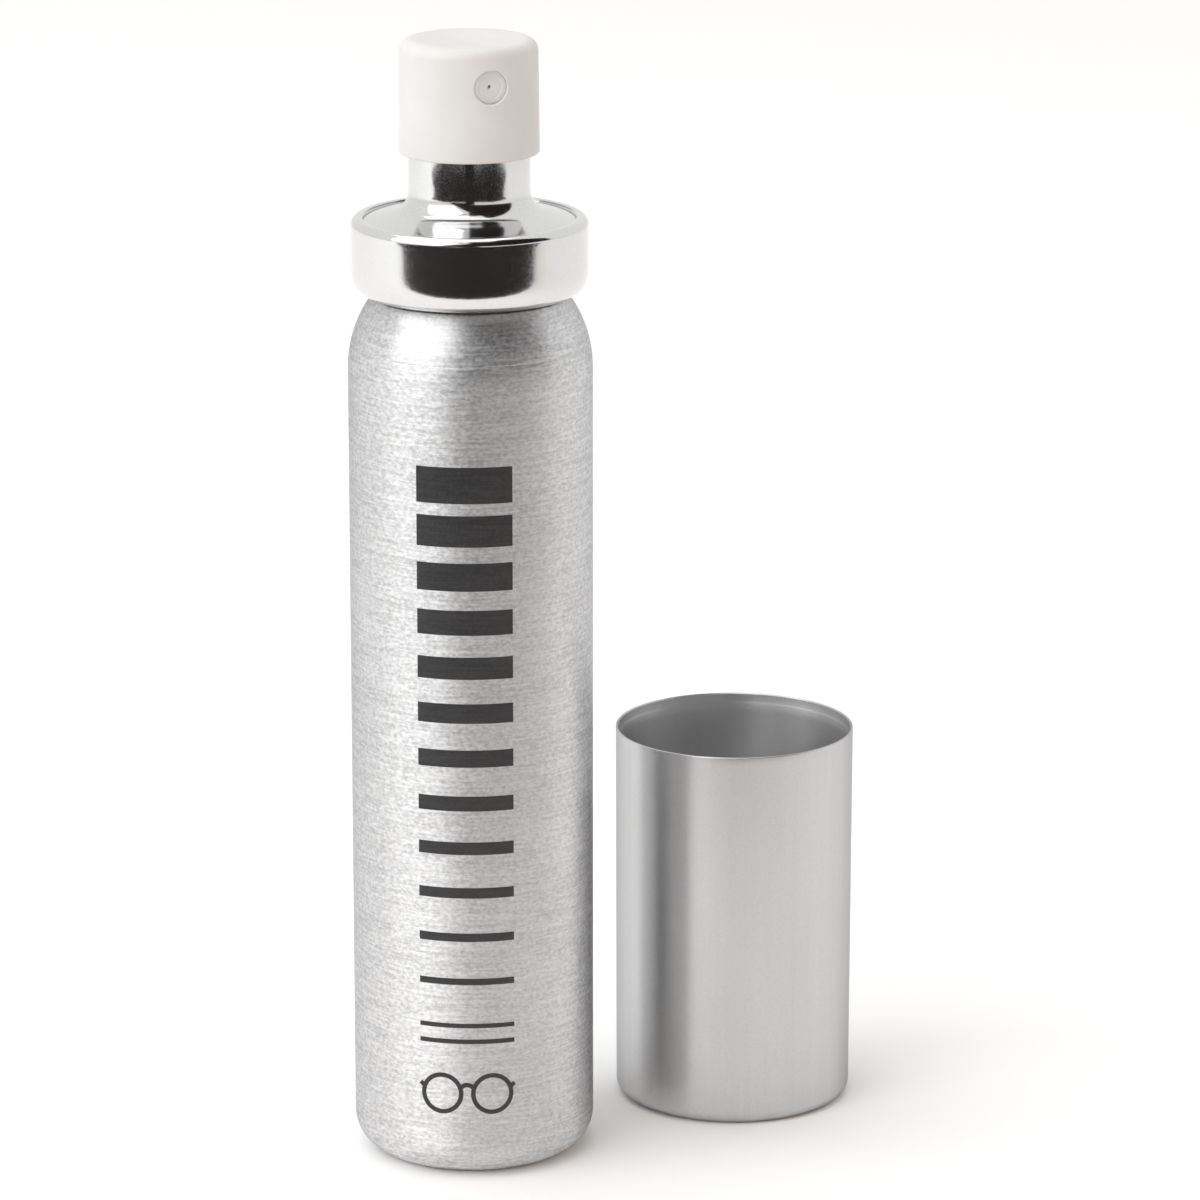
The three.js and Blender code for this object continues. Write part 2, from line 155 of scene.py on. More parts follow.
def stageSheet(name, corners, material):  # a flat studio sheet, given by its corners
    mesh = bpy.data.meshes.new(name)
    mesh.from_pydata([Vector(c) * mm for c in corners], [], [tuple(range(len(corners)))])
    mesh.materials.append(material)
    sheet = bpy.data.objects.new(name, mesh)
    bpy.context.scene.collection.objects.link(sheet)
    return sheet


def hideFrom(sheet, *rays):
    for ray in rays:
        setattr(sheet, "visible_" + ray, False)


def addSoftbox(name, look):
    light = bpy.data.lights.new(name, "AREA")
    light.shape = "RECTANGLE"
    light.size, light.size_y = look["size"][0] * mm, look["size"][1] * mm
    light.energy = look["brightness"] * math.pi * light.size * light.size_y
    lamp = bpy.data.objects.new(name, light)
    bpy.context.scene.collection.objects.link(lamp)
    lamp.location = Vector(look["place"]) * mm
    lamp.rotation_mode = "QUATERNION"
    lamp.rotation_quaternion = (Vector(look["aim"]) - Vector(look["place"])).to_track_quat("-Z", "Y")


def makeStudio():
    camera = bpy.data.objects.new("camera", bpy.data.cameras.new("camera"))
    bpy.context.scene.collection.objects.link(camera)
    camera.location = Vector(studio["cameraPlace"]) * mm
    camera.rotation_euler = (math.radians(90 - studio["cameraTilt"]), 0, 0)
    camera.data.lens = studio["lens"]
    camera.data.clip_start = 0.01
    camera.data.clip_end = 20
    bpy.context.scene.camera = camera

    world = bpy.data.worlds.new("studio")
    world.use_nodes = True
    background = world.node_tree.nodes["Background"]
    background.inputs["Color"].default_value = (*studio["worldTint"], 1)
    background.inputs["Strength"].default_value = studio["worldLight"]
    bpy.context.scene.world = world
    bpy.context.scene.view_settings.view_transform = "Standard"

    half = studio["floorSize"] / 2
    stageSheet("floor", [(-half, -half, 0), (half, -half, 0), (half, half, 0), (-half, half, 0)],
               stageMaterial("pale_floor", studio["floorTone"]))
    for name, look in softboxes.items():
        addSoftbox(name, look)
    dark = stageMaterial("black_card", studio["darkTone"])
    for name, corners in darkCards.items():
        hideFrom(stageSheet(name, corners, dark), "camera", "shadow", "diffuse")
    side = stageSheet("side_card", warmCard, stageMaterial("warm_card", studio["warmTone"]))
    hideFrom(side, "camera", "shadow", "glossy")
    print("studio ready")


makeStudio()


def newMaterial(name, **values):  # a Principled material, its tree and its object coordinates
    material = bpy.data.materials.new(name)
    material.use_nodes = True
    tree = material.node_tree
    shader = tree.nodes["Principled BSDF"]
    for key, value in values.items():
        shader.inputs[key.replace("_", " ")].default_value = value
    return material, tree, shader, put(tree, "ShaderNodeTexCoord").outputs["Object"]


def noise(tree, coords, scale, detail=2.0, roughness=0.5):  # scale is features per metre along x, y and z
    mapped = put(tree, "ShaderNodeMapping", {"Vector": coords, "Scale": scale}).outputs[0]
    inputs = {"Vector": mapped, "Scale": 1.0, "Detail": detail, "Roughness": roughness}
    return put(tree, "ShaderNodeTexNoise", inputs).outputs[0]


def between(tree, value, low, high, fromLow=0.3, fromHigh=0.7):
    return put(tree, "ShaderNodeMapRange", {0: value, 1: fromLow, 2: fromHigh, 3: low, 4: high}).outputs[0]


def blendColor(tree, factor, first, second):
    node = put(tree, "ShaderNodeMix", data_type="RGBA")
    for index, value in ((0, factor), (6, first), (7, second)):
        if isinstance(value, bpy.types.NodeSocket):
            tree.links.new(value, node.inputs[index])
        else:
            node.inputs[index].default_value = (*value, 1) if index else value
    return node.outputs[2]


def bump(tree, height, distance, normal=None):
    inputs = {"Height": height, "Distance": distance, "Strength": 1.0}
    if normal:
        inputs["Normal"] = normal
    return put(tree, "ShaderNodeBump", inputs).outputs[0]


def mixOf(tree, first, second, share):  # this share of the first, and the rest of the second
    return calc(tree, "ADD", calc(tree, "MULTIPLY", first, share), calc(tree, "MULTIPLY", second, 1 - share))


def paint(tree, shader, color, rough, normal):
    tree.links.new(color, shader.inputs["Base Color"])
    tree.links.new(rough, shader.inputs["Roughness"])
    tree.links.new(normal, shader.inputs["Normal"])


brushed = {
    "dark": (0.52, 0.52, 0.525),
    "light": (0.86, 0.86, 0.865),
    "limb": (0.7, 0.7, 0.71, 1),  # matt anodised metal reflects a little less where it is seen edge on
    "grain": (2300, 2300, 3600),
    "lines": (230, 230, 4600),
    "patches": (140, 140, 90),
    "roughness": (0.39, 0.52),
    "depth": 1.5e-5,
}


def brushedAluminium():  # short, fine lines brushed round the body over a sparkling grain
    material, tree, shader, coords = newMaterial(
        "brushed_aluminium", Metallic=1.0, Specular_Tint=brushed["limb"], Anisotropic=0.82,
        Anisotropic_Rotation=0.25)
    grain = noise(tree, coords, brushed["grain"], 3.0, 0.6)
    lines = noise(tree, coords, brushed["lines"], 3.0, 0.6)
    patches = noise(tree, coords, brushed["patches"], 3.0)
    surface = mixOf(tree, grain, lines, 0.6)
    tone = between(tree, surface, 0, 1, 0.385, 0.615)
    color = blendColor(tree, tone, brushed["dark"], brushed["light"])
    uneven = between(tree, patches, -0.02, 0.03)
    rough = calc(tree, "ADD", between(tree, tone, *brushed["roughness"], 0, 1), uneven)
    paint(tree, shader, color, rough, bump(tree, surface, brushed["depth"]))
    tangent = put(tree, "ShaderNodeTangent", direction_type="RADIAL", axis="Z").outputs[0]
    tree.links.new(tangent, shader.inputs["Tangent"])
    return material


bright = {
    "dark": (0.69, 0.69, 0.693),
    "light": (0.755, 0.755, 0.755),
    "grain": (6000, 6000, 6000),
    "waves": (320, 320, 420),
    "roughness": (0.08, 0.16),
    "grainDepth": 1.5e-6,
    "waveDepth": 5e-6,
}


def brightAluminium():  # polished and anodised, with the faint unevenness of a drawn and crimped ring
    material, tree, shader, coords = newMaterial("bright_aluminium", Metallic=1.0)
    grain = noise(tree, coords, bright["grain"])
    waves = noise(tree, coords, bright["waves"])
    color = blendColor(tree, between(tree, grain, 0, 1), bright["dark"], bright["light"])
    wavy = bump(tree, waves, bright["waveDepth"])
    normal = bump(tree, grain, bright["grainDepth"], wavy)
    paint(tree, shader, color, between(tree, grain, *bright["roughness"]), normal)
    return material


drawn = {
    "limb": (0.6, 0.6, 0.61, 1),
    "grain": (7000, 7000, 7000),
    "lines": (900, 900, 25),
    "patches": (110, 110, 70),
    "depth": 2.5e-6,
}


def anodisedAluminium(name, dark, light, rough):  # matt, with a fine grain and faint lines from drawing
    material, tree, shader, coords = newMaterial(
        name, Metallic=1.0, Specular_Tint=drawn["limb"], Anisotropic=0.6, Anisotropic_Rotation=0.25)
    normal = put(tree, "ShaderNodeNewGeometry").outputs["Normal"]
    around = put(tree, "ShaderNodeVectorMath", {0: normal, 1: (0, 0, 1)}, operation="CROSS_PRODUCT")
    tree.links.new(around.outputs[0], shader.inputs["Tangent"])
    grain = noise(tree, coords, drawn["grain"])
    lines = noise(tree, coords, drawn["lines"], 3.0)
    patches = noise(tree, coords, drawn["patches"], 3.0)
    color = blendColor(tree, between(tree, mixOf(tree, grain, lines, 0.7), 0, 1), dark, light)
    uneven = between(tree, patches, -0.02, 0.03)
    spread = calc(tree, "ADD", between(tree, grain, rough - 0.04, rough + 0.04), uneven)
    paint(tree, shader, color, spread, bump(tree, grain, drawn["depth"]))
    return material


moulded = {
    "grain": (5200, 5200, 5200),
    "clouds": (260, 260, 200),
    "grainDepth": 4e-6,
    "cloudDepth": 1.2e-5,
    "scatter": 0.0006,
    "scatterTint": (1.0, 0.9, 0.8),
}


def mouldedPlastic(name, dark, light, rough, see=0.12):  # satin moulded plastic with a spark-eroded grain
    material, tree, shader, coords = newMaterial(
        name, Subsurface_Weight=see, Subsurface_Scale=moulded["scatter"],
        Subsurface_Radius=moulded["scatterTint"])
    grain = noise(tree, coords, moulded["grain"])
    clouds = noise(tree, coords, moulded["clouds"], 3.0)
    color = blendColor(tree, between(tree, clouds, 0, 1), dark, light)
    slow = bump(tree, clouds, moulded["cloudDepth"])
    spread = between(tree, grain, rough - 0.05, rough + 0.06)
    paint(tree, shader, color, spread, bump(tree, grain, moulded["grainDepth"], slow))
    return material


ink = {
    "dark": (0.012, 0.012, 0.013),
    "light": (0.035, 0.034, 0.035),
    "lines": (330, 330, 6500),
    "specks": (4200, 4200, 4200),
    "roughness": (0.38, 0.52),
    "depth": 3e-6,
}


def printInk():  # dark screen-print ink that lets a little of the brushing through
    material, tree, shader, coords = newMaterial("print_ink")
    lines = noise(tree, coords, ink["lines"], 3.0, 0.6)
    specks = noise(tree, coords, ink["specks"], 1.0)
    tone = mixOf(tree, lines, specks, 0.6)
    color = blendColor(tree, between(tree, tone, 0, 1, 0.35, 0.7), ink["dark"], ink["light"])
    paint(tree, shader, color, between(tree, tone, *ink["roughness"]), bump(tree, lines, ink["depth"]))
    return material


plain = {  # finishes of one even noise, for the small inner pieces
    "seal_rubber": {"metal": 0.0, "dark": (0.03, 0.03, 0.032), "light": (0.06, 0.06, 0.062),
                    "grain": (3000, 3000, 3000), "roughness": (0.65, 0.85), "depth": 8e-6},
    "spring_steel": {"metal": 1.0, "dark": (0.5, 0.5, 0.51), "light": (0.68, 0.68, 0.69),
                     "grain": (2500, 2500, 2500), "roughness": (0.16, 0.3), "depth": 2e-6},
}


def plainFinish(name):
    look = plain[name]
    material, tree, shader, coords = newMaterial(name, Metallic=look["metal"])
    grain = noise(tree, coords, look["grain"], 3.0)
    color = blendColor(tree, between(tree, grain, 0, 1), look["dark"], look["light"])
    paint(tree, shader, color, between(tree, grain, *look["roughness"]), bump(tree, grain, look["depth"]))
    return material


finishes = {
    "brushed_aluminium": brushedAluminium(),
    "bright_aluminium": brightAluminium(),
    "satin_aluminium": anodisedAluminium("satin_aluminium", (0.57, 0.57, 0.575), (0.66, 0.66, 0.66), 0.34),
    "cap_inside": anodisedAluminium("cap_inside", (0.66, 0.66, 0.67), (0.74, 0.74, 0.75), 0.46),
    "white_plastic": mouldedPlastic("white_plastic", (0.62, 0.614, 0.606), (0.66, 0.655, 0.648), 0.42),
    "natural_plastic": mouldedPlastic("natural_plastic", (0.74, 0.74, 0.7), (0.82, 0.82, 0.79), 0.45, 0.3),
    "soft_plastic": mouldedPlastic("soft_plastic", (0.7, 0.7, 0.67), (0.8, 0.8, 0.77), 0.5, 0.4),
    "seal_rubber": plainFinish("seal_rubber"),
    "spring_steel": plainFinish("spring_steel"),
    "print_ink": printInk(),
}
print("materials ready")


def arc(r, z, radius, start, end, steps):  # points on an arc in the radius-height plane, angles in degrees
    angles = [math.radians(start + (end - start) * i / steps) for i in range(steps + 1)]
    return [(r + radius * math.cos(a), z + radius * math.sin(a)) for a in angles]


# a curve whose heading swings smoothly by turn degrees
def bend(r, z, heading, turn, length, steps, ease=1.0):
    points = [(r, z)]
    for i in range(steps):
        share = ((i + 0.5) / steps) ** ease
        way = math.radians(heading + turn * share * share * (3 - 2 * share))
        r += math.cos(way) * length / steps
        z += math.sin(way) * length / steps
        points.append((r, z))
    return points


def makeRevolveTree():  # revolves a profile about the Z axis; the points marked inner get the inside material
    tree, size = newTree("revolve", {"Turns": "Int", "Outside": "Material", "Inside": "Material"})
    profile = size["Geometry"]
    count = put(tree, "GeometryNodeAttributeDomainSize", {"Geometry": profile}).outputs["Point Count"]
    rows = calc(tree, "ADD", size["Turns"], 1)
    grid = put(tree, "GeometryNodeMeshGrid", {"Vertices X": count, "Vertices Y": rows}).outputs[0]
    index = put(tree, "GeometryNodeInputIndex").outputs[0]
    middle = calc(tree, "ADD", index, 0.5)
    place = calc(tree, "FLOOR", calc(tree, "DIVIDE", middle, rows))  # the point's number along the profile
    turn = calc(tree, "SUBTRACT", index, calc(tree, "MULTIPLY", place, rows))
    angle = calc(tree, "DIVIDE", calc(tree, "MULTIPLY", turn, 2 * math.pi), size["Turns"])

    position = put(tree, "GeometryNodeInputPosition").outputs[0]
    sampled = put(tree, "GeometryNodeSampleIndex", {"Geometry": profile}, data_type="FLOAT_VECTOR")
    tree.links.new(position, sampled.inputs["Value"])
    tree.links.new(place, sampled.inputs["Index"])
    parts = put(tree, "ShaderNodeSeparateXYZ", {0: sampled.outputs[0]}).outputs
    x = calc(tree, "MULTIPLY", parts[0], calc(tree, "COSINE", angle))
    y = calc(tree, "MULTIPLY", parts[0], calc(tree, "SINE", angle))
    spun = put(tree, "ShaderNodeCombineXYZ", {0: x, 1: y, 2: parts[2]}).outputs[0]
    placed = put(tree, "GeometryNodeSetPosition", {"Geometry": grid, "Position": spun}).outputs[0]

    inner = put(tree, "GeometryNodeInputNamedAttribute", {"Name": "inner"}, data_type="FLOAT").outputs[0]
    marked = put(tree, "GeometryNodeSampleIndex", {"Geometry": profile}, data_type="FLOAT")
    tree.links.new(inner, marked.inputs["Value"])
    tree.links.new(place, marked.inputs["Index"])
    stored = {"Geometry": placed, "Name": "inner", "Value": marked.outputs[0]}
    kept = put(tree, "GeometryNodeStoreNamedAttribute", stored, data_type="FLOAT").outputs[0]
    closed = put(tree, "GeometryNodeMergeByDistance", {"Geometry": kept, "Distance": 1e-6}).outputs[0]
    outward = put(tree, "GeometryNodeFlipFaces", {0: closed}).outputs[0]
    soft = smoothed(tree, outward)
    outside = put(tree, "GeometryNodeSetMaterial", {"Geometry": soft, "Material": size["Outside"]}).outputs[0]
    real = put(tree, "GeometryNodeRealizeInstances", {0: outside}).outputs[0]
    within = put(tree, "GeometryNodeInputNamedAttribute", {"Name": "inner"}, data_type="FLOAT").outputs[0]
    selected = calc(tree, "GREATER_THAN", within, 0.6)
    lining = {"Geometry": real, "Selection": selected, "Material": size["Inside"]}
    both = put(tree, "GeometryNodeSetMaterial", lining).outputs[0]
    tree.links.new(both, tree.nodes.new("NodeGroupOutput").inputs[0])
    return tree


revolveTree = makeRevolveTree()


# outside and inside are one profile, anticlockwise with the radius to the right; a ring closes on itself
def turned(name, outside, finish, inside=(), insideFinish=None, turns=256, ring=False):
    profile = list(outside) + list(inside)
    flags = [0.0] * len(outside) + [1.0] * len(inside)
    if ring:
        profile.append(profile[0])
        flags.append(flags[-1])
    mesh = bpy.data.meshes.new(name + "_profile")
    edges = [(i, i + 1) for i in range(len(profile) - 1)]
    mesh.from_pydata([(r * mm, 0, z * mm) for r, z in profile], edges, [])
    mesh.attributes.new("inner", "FLOAT", "POINT").data.foreach_set("value", flags)
    return runTree(name, revolveTree, {"Turns": turns, "Outside": finishes[finish],
                                       "Inside": finishes[insideFinish or finish]}, mesh)


def settle(piece, body, slot, *nodes):  # the piece rides on its body and stands for its CAD nodes
    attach(piece, body)
    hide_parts(*nodes)
    print(piece.name, len(piece.data.polygons), "faces")


bottleLow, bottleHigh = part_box("bottle_shell")
bottle = {
    "radius": bottleHigh.x / mm,
    "wall": 0.45,
    "baseRound": 3.3,
    "baseThick": 0.8,
    "baseGroove": 6.3,  # radius of the shallow ring under the base
    "grooveDepth": 0.15,
    "shoulder": 73.5,  # height of the centre of the shoulder's sphere
    "shoulderEnd": 37,  # degrees up the sphere, where the neck's fillet starts
    "capLine": 75.8,  # hairline ring where the cap's mouth comes to rest
    "lineDepth": 0.035,
    "lineHalf": 0.45,  # degrees from the middle of the hairline to its edge
    "neckRadius": 7.8,
    "neckTop": 81.0,
    "neckFillet": 0.8,
    "beadRadius": 1.4,
}


def makeBottle():
    radius, wall, base = bottle["radius"], bottle["wall"], bottle["baseRound"]
    groove, centre, thick = bottle["baseGroove"], bottle["shoulder"], bottle["baseThick"]
    fillet, bead, depth = bottle["neckFillet"], bottle["beadRadius"], bottle["grooveDepth"]
    half, end = bottle["lineHalf"], bottle["shoulderEnd"]
    beadZ = bottleHigh.z / mm - bead
    beadR = bottle["neckRadius"] + bead - wall
    filletR = bottle["neckRadius"] + fillet
    lineAngle = math.degrees(math.asin((bottle["capLine"] - centre) / radius))
    outside = [(0, 0), (groove - 0.5, 0), (groove - 0.25, depth), (groove + 0.25, depth), (groove + 0.5, 0)]
    outside += arc(radius - base, base, base, -90, 0, 20)
    outside += [(radius, z) for z in range(8, 72, 8)]
    outside += arc(0, centre, radius, 0, lineAngle - half, 8)
    outside += arc(0, centre, radius - bottle["lineDepth"], lineAngle - 0.2, lineAngle + 0.2, 2)
    outside += arc(0, centre, radius, lineAngle + half, end, 16)
    outside += arc(filletR, bottle["neckTop"], fillet, 262, 180, 8)
    inside = arc(beadR, beadZ, bead - wall, 180, -60, 14) + arc(beadR, beadZ, bead, -60, 180, 20)
    inside += arc(filletR, bottle["neckTop"], fillet + wall, 180, 262, 6)
    inside += arc(0, centre, radius - wall, end - 4, 0, 10)
    inside += arc(radius - base, thick + base - wall, base - wall, 0, -90, 8) + [(0, thick)]
    body = turned("bottle_body", outside, "brushed_aluminium", inside)
    settle(body, "bottle", "brushed_aluminium", "bottle_shell")


makeBottle()


ferruleLow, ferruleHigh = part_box("crimp_ferrule")
ferrule = {
    "radius": ferruleHigh.x / mm,
    "wall": 0.4,
    "lipStart": 83.95,  # where the wall starts to turn in under the neck's bead
    "lipLength": 4.4,
    "rimHeight": 86.55,
    "rimRound": 0.75,
    "grooveInset": 0.2,  # from the middle of the rim's round to the fine groove inside it
    "slope": 15,  # degrees that the top falls from the turret to the rim
    "turretRadius": 5.46,
    "turretRound": 0.5,
    "filletTop": 90.0,  # where the turret's wall starts to spread
    "filletLength": 3.3,
    "holeRadius": 3.3,
}


def makeFerrule():
    radius, wall, rim = ferrule["radius"], ferrule["wall"], ferrule["rimRound"]
    turret, slope, edge = ferrule["turretRadius"], ferrule["slope"], ferrule["turretRound"]
    hole, top = ferrule["holeRadius"], ferruleHigh.z / mm
    rimR = radius - rim
    grooveR = rimR - ferrule["grooveInset"]
    lip = bend(radius, ferrule["lipStart"], -90, -84, ferrule["lipLength"], 30, 2.2)
    fillet = bend(turret, ferrule["filletTop"], -90, 90 - slope, ferrule["filletLength"], 40)
    footR, footZ = fillet[-1]
    grooveZ = footZ - (grooveR - footR) * math.tan(math.radians(slope))
    shares = (0.08, 0.3, 0.6, 0.9)  # from the groove to the foot of the fillet
    cone = [(grooveR + (footR - grooveR) * t, grooveZ + (footZ - grooveZ) * t) for t in shares]
    outside = lip[::-1] + [(radius, ferrule["lipStart"] + 0.5), (radius, ferrule["rimHeight"] - 0.4)]
    outside += arc(rimR, ferrule["rimHeight"], rim, 0, 112, 20)
    outside += [(grooveR + 0.02, grooveZ + 0.05), (grooveR - 0.05, grooveZ - 0.01)] + cone
    outside += fillet[::-1] + [(turret, ferrule["filletTop"] + 0.4)]
    outside += arc(turret - edge, top - edge, edge, 0, 90, 8)
    inside = [(hole, top), (hole, top - wall)] + arc(turret - edge, top - edge, edge - wall, 90, 0, 4)
    offset = wall * 0.7  # along r and z, for the inner face of the curved stretches
    inside += [(r - offset, z - offset) for r, z in fillet[4::4]] + [(grooveR - 0.1, grooveZ - wall)]
    inside += arc(rimR, ferrule["rimHeight"], rim - wall, 80, 0, 6)
    inside += [(r - offset, z + offset) for r, z in lip[3::3]]
    ring = turned("ferrule_ring", outside, "bright_aluminium", inside, ring=True)
    settle(ring, "bottle", "bright_aluminium", "crimp_ferrule")


makeFerrule()


capLow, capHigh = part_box("cap_shell")
cap = {
    "place": ((capLow + capHigh) / 2 / mm).to_2d(),
    "height": capHigh.z / mm,
    "mouthRadius": (capHigh.x - capLow.x) / 2 / mm,
    "radius": 11.0,
    "wall": 0.4,
    "round": 1.2,
    "floor": 0.5,
    "leadIn": 0.9,  # height of the coined step inside the mouth
    "leadInDepth": 0.17,
    "lipRound": 0.1,
}


def makeCap():
    radius, mouth, wall, height = cap["radius"], cap["mouthRadius"], cap["wall"], cap["height"]
    corner, lip, deep, bore = cap["round"], cap["lipRound"], cap["leadInDepth"], mouth - wall
    inner = corner - wall
    step = height - cap["leadIn"]
    outside = [(0, 0)] + arc(radius - corner, corner, corner, -90, 0, 14)
    shares = (0.25, 0.5, 0.75, 0.98)  # the wall widens a little from the corner to the mouth
    outside += [(radius + (mouth - radius) * t, corner + (height - corner) * t) for t in shares]
    outside += arc(mouth - lip, height - lip, lip, 0, 160, 8)
    inside = [(bore + deep, height - lip), (bore + deep - 0.04, step + 0.1), (bore + deep - 0.07, step)]
    inside += [(bore + deep - 0.1, step - 0.1), (bore, step - 0.9)]
    inside += arc(radius - wall - inner, cap["floor"] + inner, inner, 0, -90, 6) + [(0, cap["floor"])]
    shell = turned("cap_drawn", outside, "satin_aluminium", inside, "cap_inside")
    shell.data.transform(Matrix.Translation((*cap["place"] * mm, 0)))
    settle(shell, "cap", "satin_aluminium", "cap_shell")


makeCap()


buttonLow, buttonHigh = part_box("actuator")
nozzleLow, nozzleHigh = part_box("nozzle_insert")
button = {
    "turns": 320,
    "toolTurns": 96,
    "wallRows": 48,  # short rows keep the shading smooth round the nozzle's recess
    "footRadius": buttonHigh.x / mm,
    "footRound": 0.15,
    "topRadius": 6.18,
    "round": 1.1,
    "dish": 0.35,
    "bore": 5.62,
    "ceiling": 101.4,
    "postFoot": 95.1,
    "postRadius": 2.75,
    "socketRadius": 1.78,
    "socketTop": 98.35,
    "riserRadius": 0.75,  # the passage from the stem up to the swirl post
    "noseRadius": 2.1,
    "recessRadius": 1.5,
    "chamfer": 0.12,  # round the mouth of the recess
    "recessBack": 3.3,
    "swirlRadius": 0.8,
    "nozzleFace": 5.85,
    "orifice": 0.11,  # radius
    "yaw": 20,  # degrees that the nozzle is turned from the front
    "weld": 0.004,
    "hardAngle": 30,
}


def bake(piece, modifier):  # keeps the modifier's result as the piece's mesh
    made = meshOf(piece)
    piece.modifiers.remove(modifier)
    piece.data = made


def cut(piece, cutter, operation):  # an exact boolean
    modifier = piece.modifiers.new("cut", "BOOLEAN")
    modifier.object = cutter
    modifier.operation = operation
    modifier.solver = "EXACT"
    bake(piece, modifier)
    bpy.data.objects.remove(cutter)


def rod(radius, low, high):  # the profile of a solid rod
    return [(0, low), (radius, low), (radius, high), (0, high)]


def makeButton():
    foot, top, small = button["footRadius"], button["topRadius"], button["footRound"]
    low, high = buttonLow.z / mm, buttonHigh.z / mm
    nozzleZ = (nozzleLow.z + nozzleHigh.z) / 2 / mm
    edge, dish, bore, ceiling = button["round"], button["dish"], button["bore"], button["ceiling"]
    flat, wallFoot = top - edge, low + small
    outside = [(bore, wallFoot), (bore + 0.1, low), (foot - small, low)]
    outside += arc(foot - small, wallFoot, small, -70, 0, 4)
    rows = [i / button["wallRows"] for i in range(1, button["wallRows"])]
    outside += [(foot + (top - foot) * t, wallFoot + (high - edge - wallFoot) * t) for t in rows]
    outside += arc(flat, high - edge, edge, 0, 90, 14)
    outside += [(flat * t, high - dish * (1 - t * t)) for t in (0.92, 0.8, 0.6, 0.4, 0.2, 0)]
    inside = [(0, ceiling), (bore - 0.35, ceiling), (bore - 0.07, ceiling - 0.3)]
    shell = turned("finger_button", inside + outside, "white_plastic", turns=button["turns"])

    front = Matrix.Translation((0, 0, nozzleZ * mm)) @ Matrix.Rotation(math.pi / 2, 4, "X")
    upright = Matrix()
    recess, chamfer, back, face = (button[k] for k in ("recessRadius", "chamfer", "recessBack", "nozzleFace"))
    postFoot, socketTop = button["postFoot"], button["socketTop"]
    wallFront = foot + (top - foot) * (nozzleZ - low) / (high - low)
    past = 0.5  # how far the recess's tool reaches past the wall
    mouth = [(0, back), (recess, back), (recess, wallFront - chamfer)]
    mouth += [(recess + chamfer + past, wallFront + past), (0, wallFront + past)]
    work = [
        ("post", rod(button["postRadius"], postFoot, ceiling + 0.1), upright, "UNION"),
        ("nose", rod(button["noseRadius"], 2, bore + 0.05), front, "UNION"),
        ("socket", rod(button["socketRadius"], postFoot - 1, socketTop), upright, "DIFFERENCE"),
        ("riser", rod(button["riserRadius"], socketTop - 0.1, ceiling), upright, "DIFFERENCE"),
        ("recess", mouth, front, "DIFFERENCE"),
        ("swirl_post", rod(button["swirlRadius"], back - 0.4, face - 0.6), front, "UNION"),
    ]
    for name, profile, place, operation in work:
        tool = turned(name, profile, "white_plastic", turns=button["toolTurns"])
        tool.data.transform(place)
        if name == "recess":  # the chamfer round the recess follows the round wall
            for point in tool.data.vertices:
                point.co.y += top * mm - math.sqrt((top * mm) ** 2 - min(abs(point.co.x), 3 * mm) ** 2)
        cut(shell, tool, operation)
    weld = shell.modifiers.new("weld", "WELD")
    weld.merge_threshold = button["weld"] * mm
    bake(shell, weld)
    shell.data.set_sharp_from_angle(angle=math.radians(button["hardAngle"]))
    even = shell.modifiers.new("even_normals", "WEIGHTED_NORMAL")
    even.keep_sharp = True
    bake(shell, even)
    yaw = Matrix.Rotation(math.radians(button["yaw"]), 4, "Z")
    shell.data.transform(yaw)
    settle(shell, "actuator", "white_plastic", "actuator")

    wall, orifice = recess - 0.006, button["orifice"]
    cup = [(1.05, face - 2), (wall, face - 2), (wall, face - 0.05), (wall - 0.03, face)]
    cup += [(1.12, face), (1.05, face - 0.06), (0.55, face - 0.06)] + arc(0.4, face - 0.26, 0.2, 90, 150, 3)
    cup += [(orifice, face - 0.3), (orifice, face - 0.5), (1.05, face - 0.5)]
    nozzle = turned("nozzle_cup", cup, "white_plastic", turns=button["toolTurns"], ring=True)
    nozzle.data.transform(yaw @ front)
    settle(nozzle, "actuator", "white_plastic", "nozzle_insert")


makeButton()


# the print on the bottle: plain bars that grow lighter downwards, a hairline and a pair of spectacles
label = {
    "azimuth": -2.2,  # degrees from the front, towards -X
    "width": 8.75,
    "ink": 0.02,
    "bars": 13,
    "top": 66.8,
    "bottom": 14.6,
    "heavy": 3.3,  # thickness of the top bar
    "light": 0.42,  # thickness of the lowest bar
    "fade": 0.75,  # below 1, the bars grow lighter sooner
    "hairline": 13.3,
    "stroke": 0.42,
    "spectacles": 8.3,  # height of the middle of the spectacles
    "lensRadius": 1.75,
    "lensGap": 1.1,
}


def makeWrapTree():  # takes a flat label (x across, y up, z out) and wraps it round the bottle
    tree, size = newTree("wrap_round_bottle", {"Radius": "Float", "Azimuth": "Float"})
    position = put(tree, "GeometryNodeInputPosition").outputs[0]
    parts = put(tree, "ShaderNodeSeparateXYZ", {0: position}).outputs
    angle = calc(tree, "ADD", calc(tree, "DIVIDE", parts[0], size["Radius"]), size["Azimuth"])
    radius = calc(tree, "ADD", parts[2], size["Radius"])
    x = calc(tree, "MULTIPLY", radius, calc(tree, "SINE", angle))
    y = calc(tree, "MULTIPLY", radius, calc(tree, "MULTIPLY", calc(tree, "COSINE", angle), -1))
    place = put(tree, "ShaderNodeCombineXYZ", {0: x, 1: y, 2: parts[1]}).outputs[0]
    moved = {"Geometry": size["Geometry"], "Position": place}
    tree.links.new(put(tree, "GeometryNodeSetPosition", moved).outputs[0], tree.nodes.new("NodeGroupOutput").inputs[0])
    return tree


wrapTree = makeWrapTree()


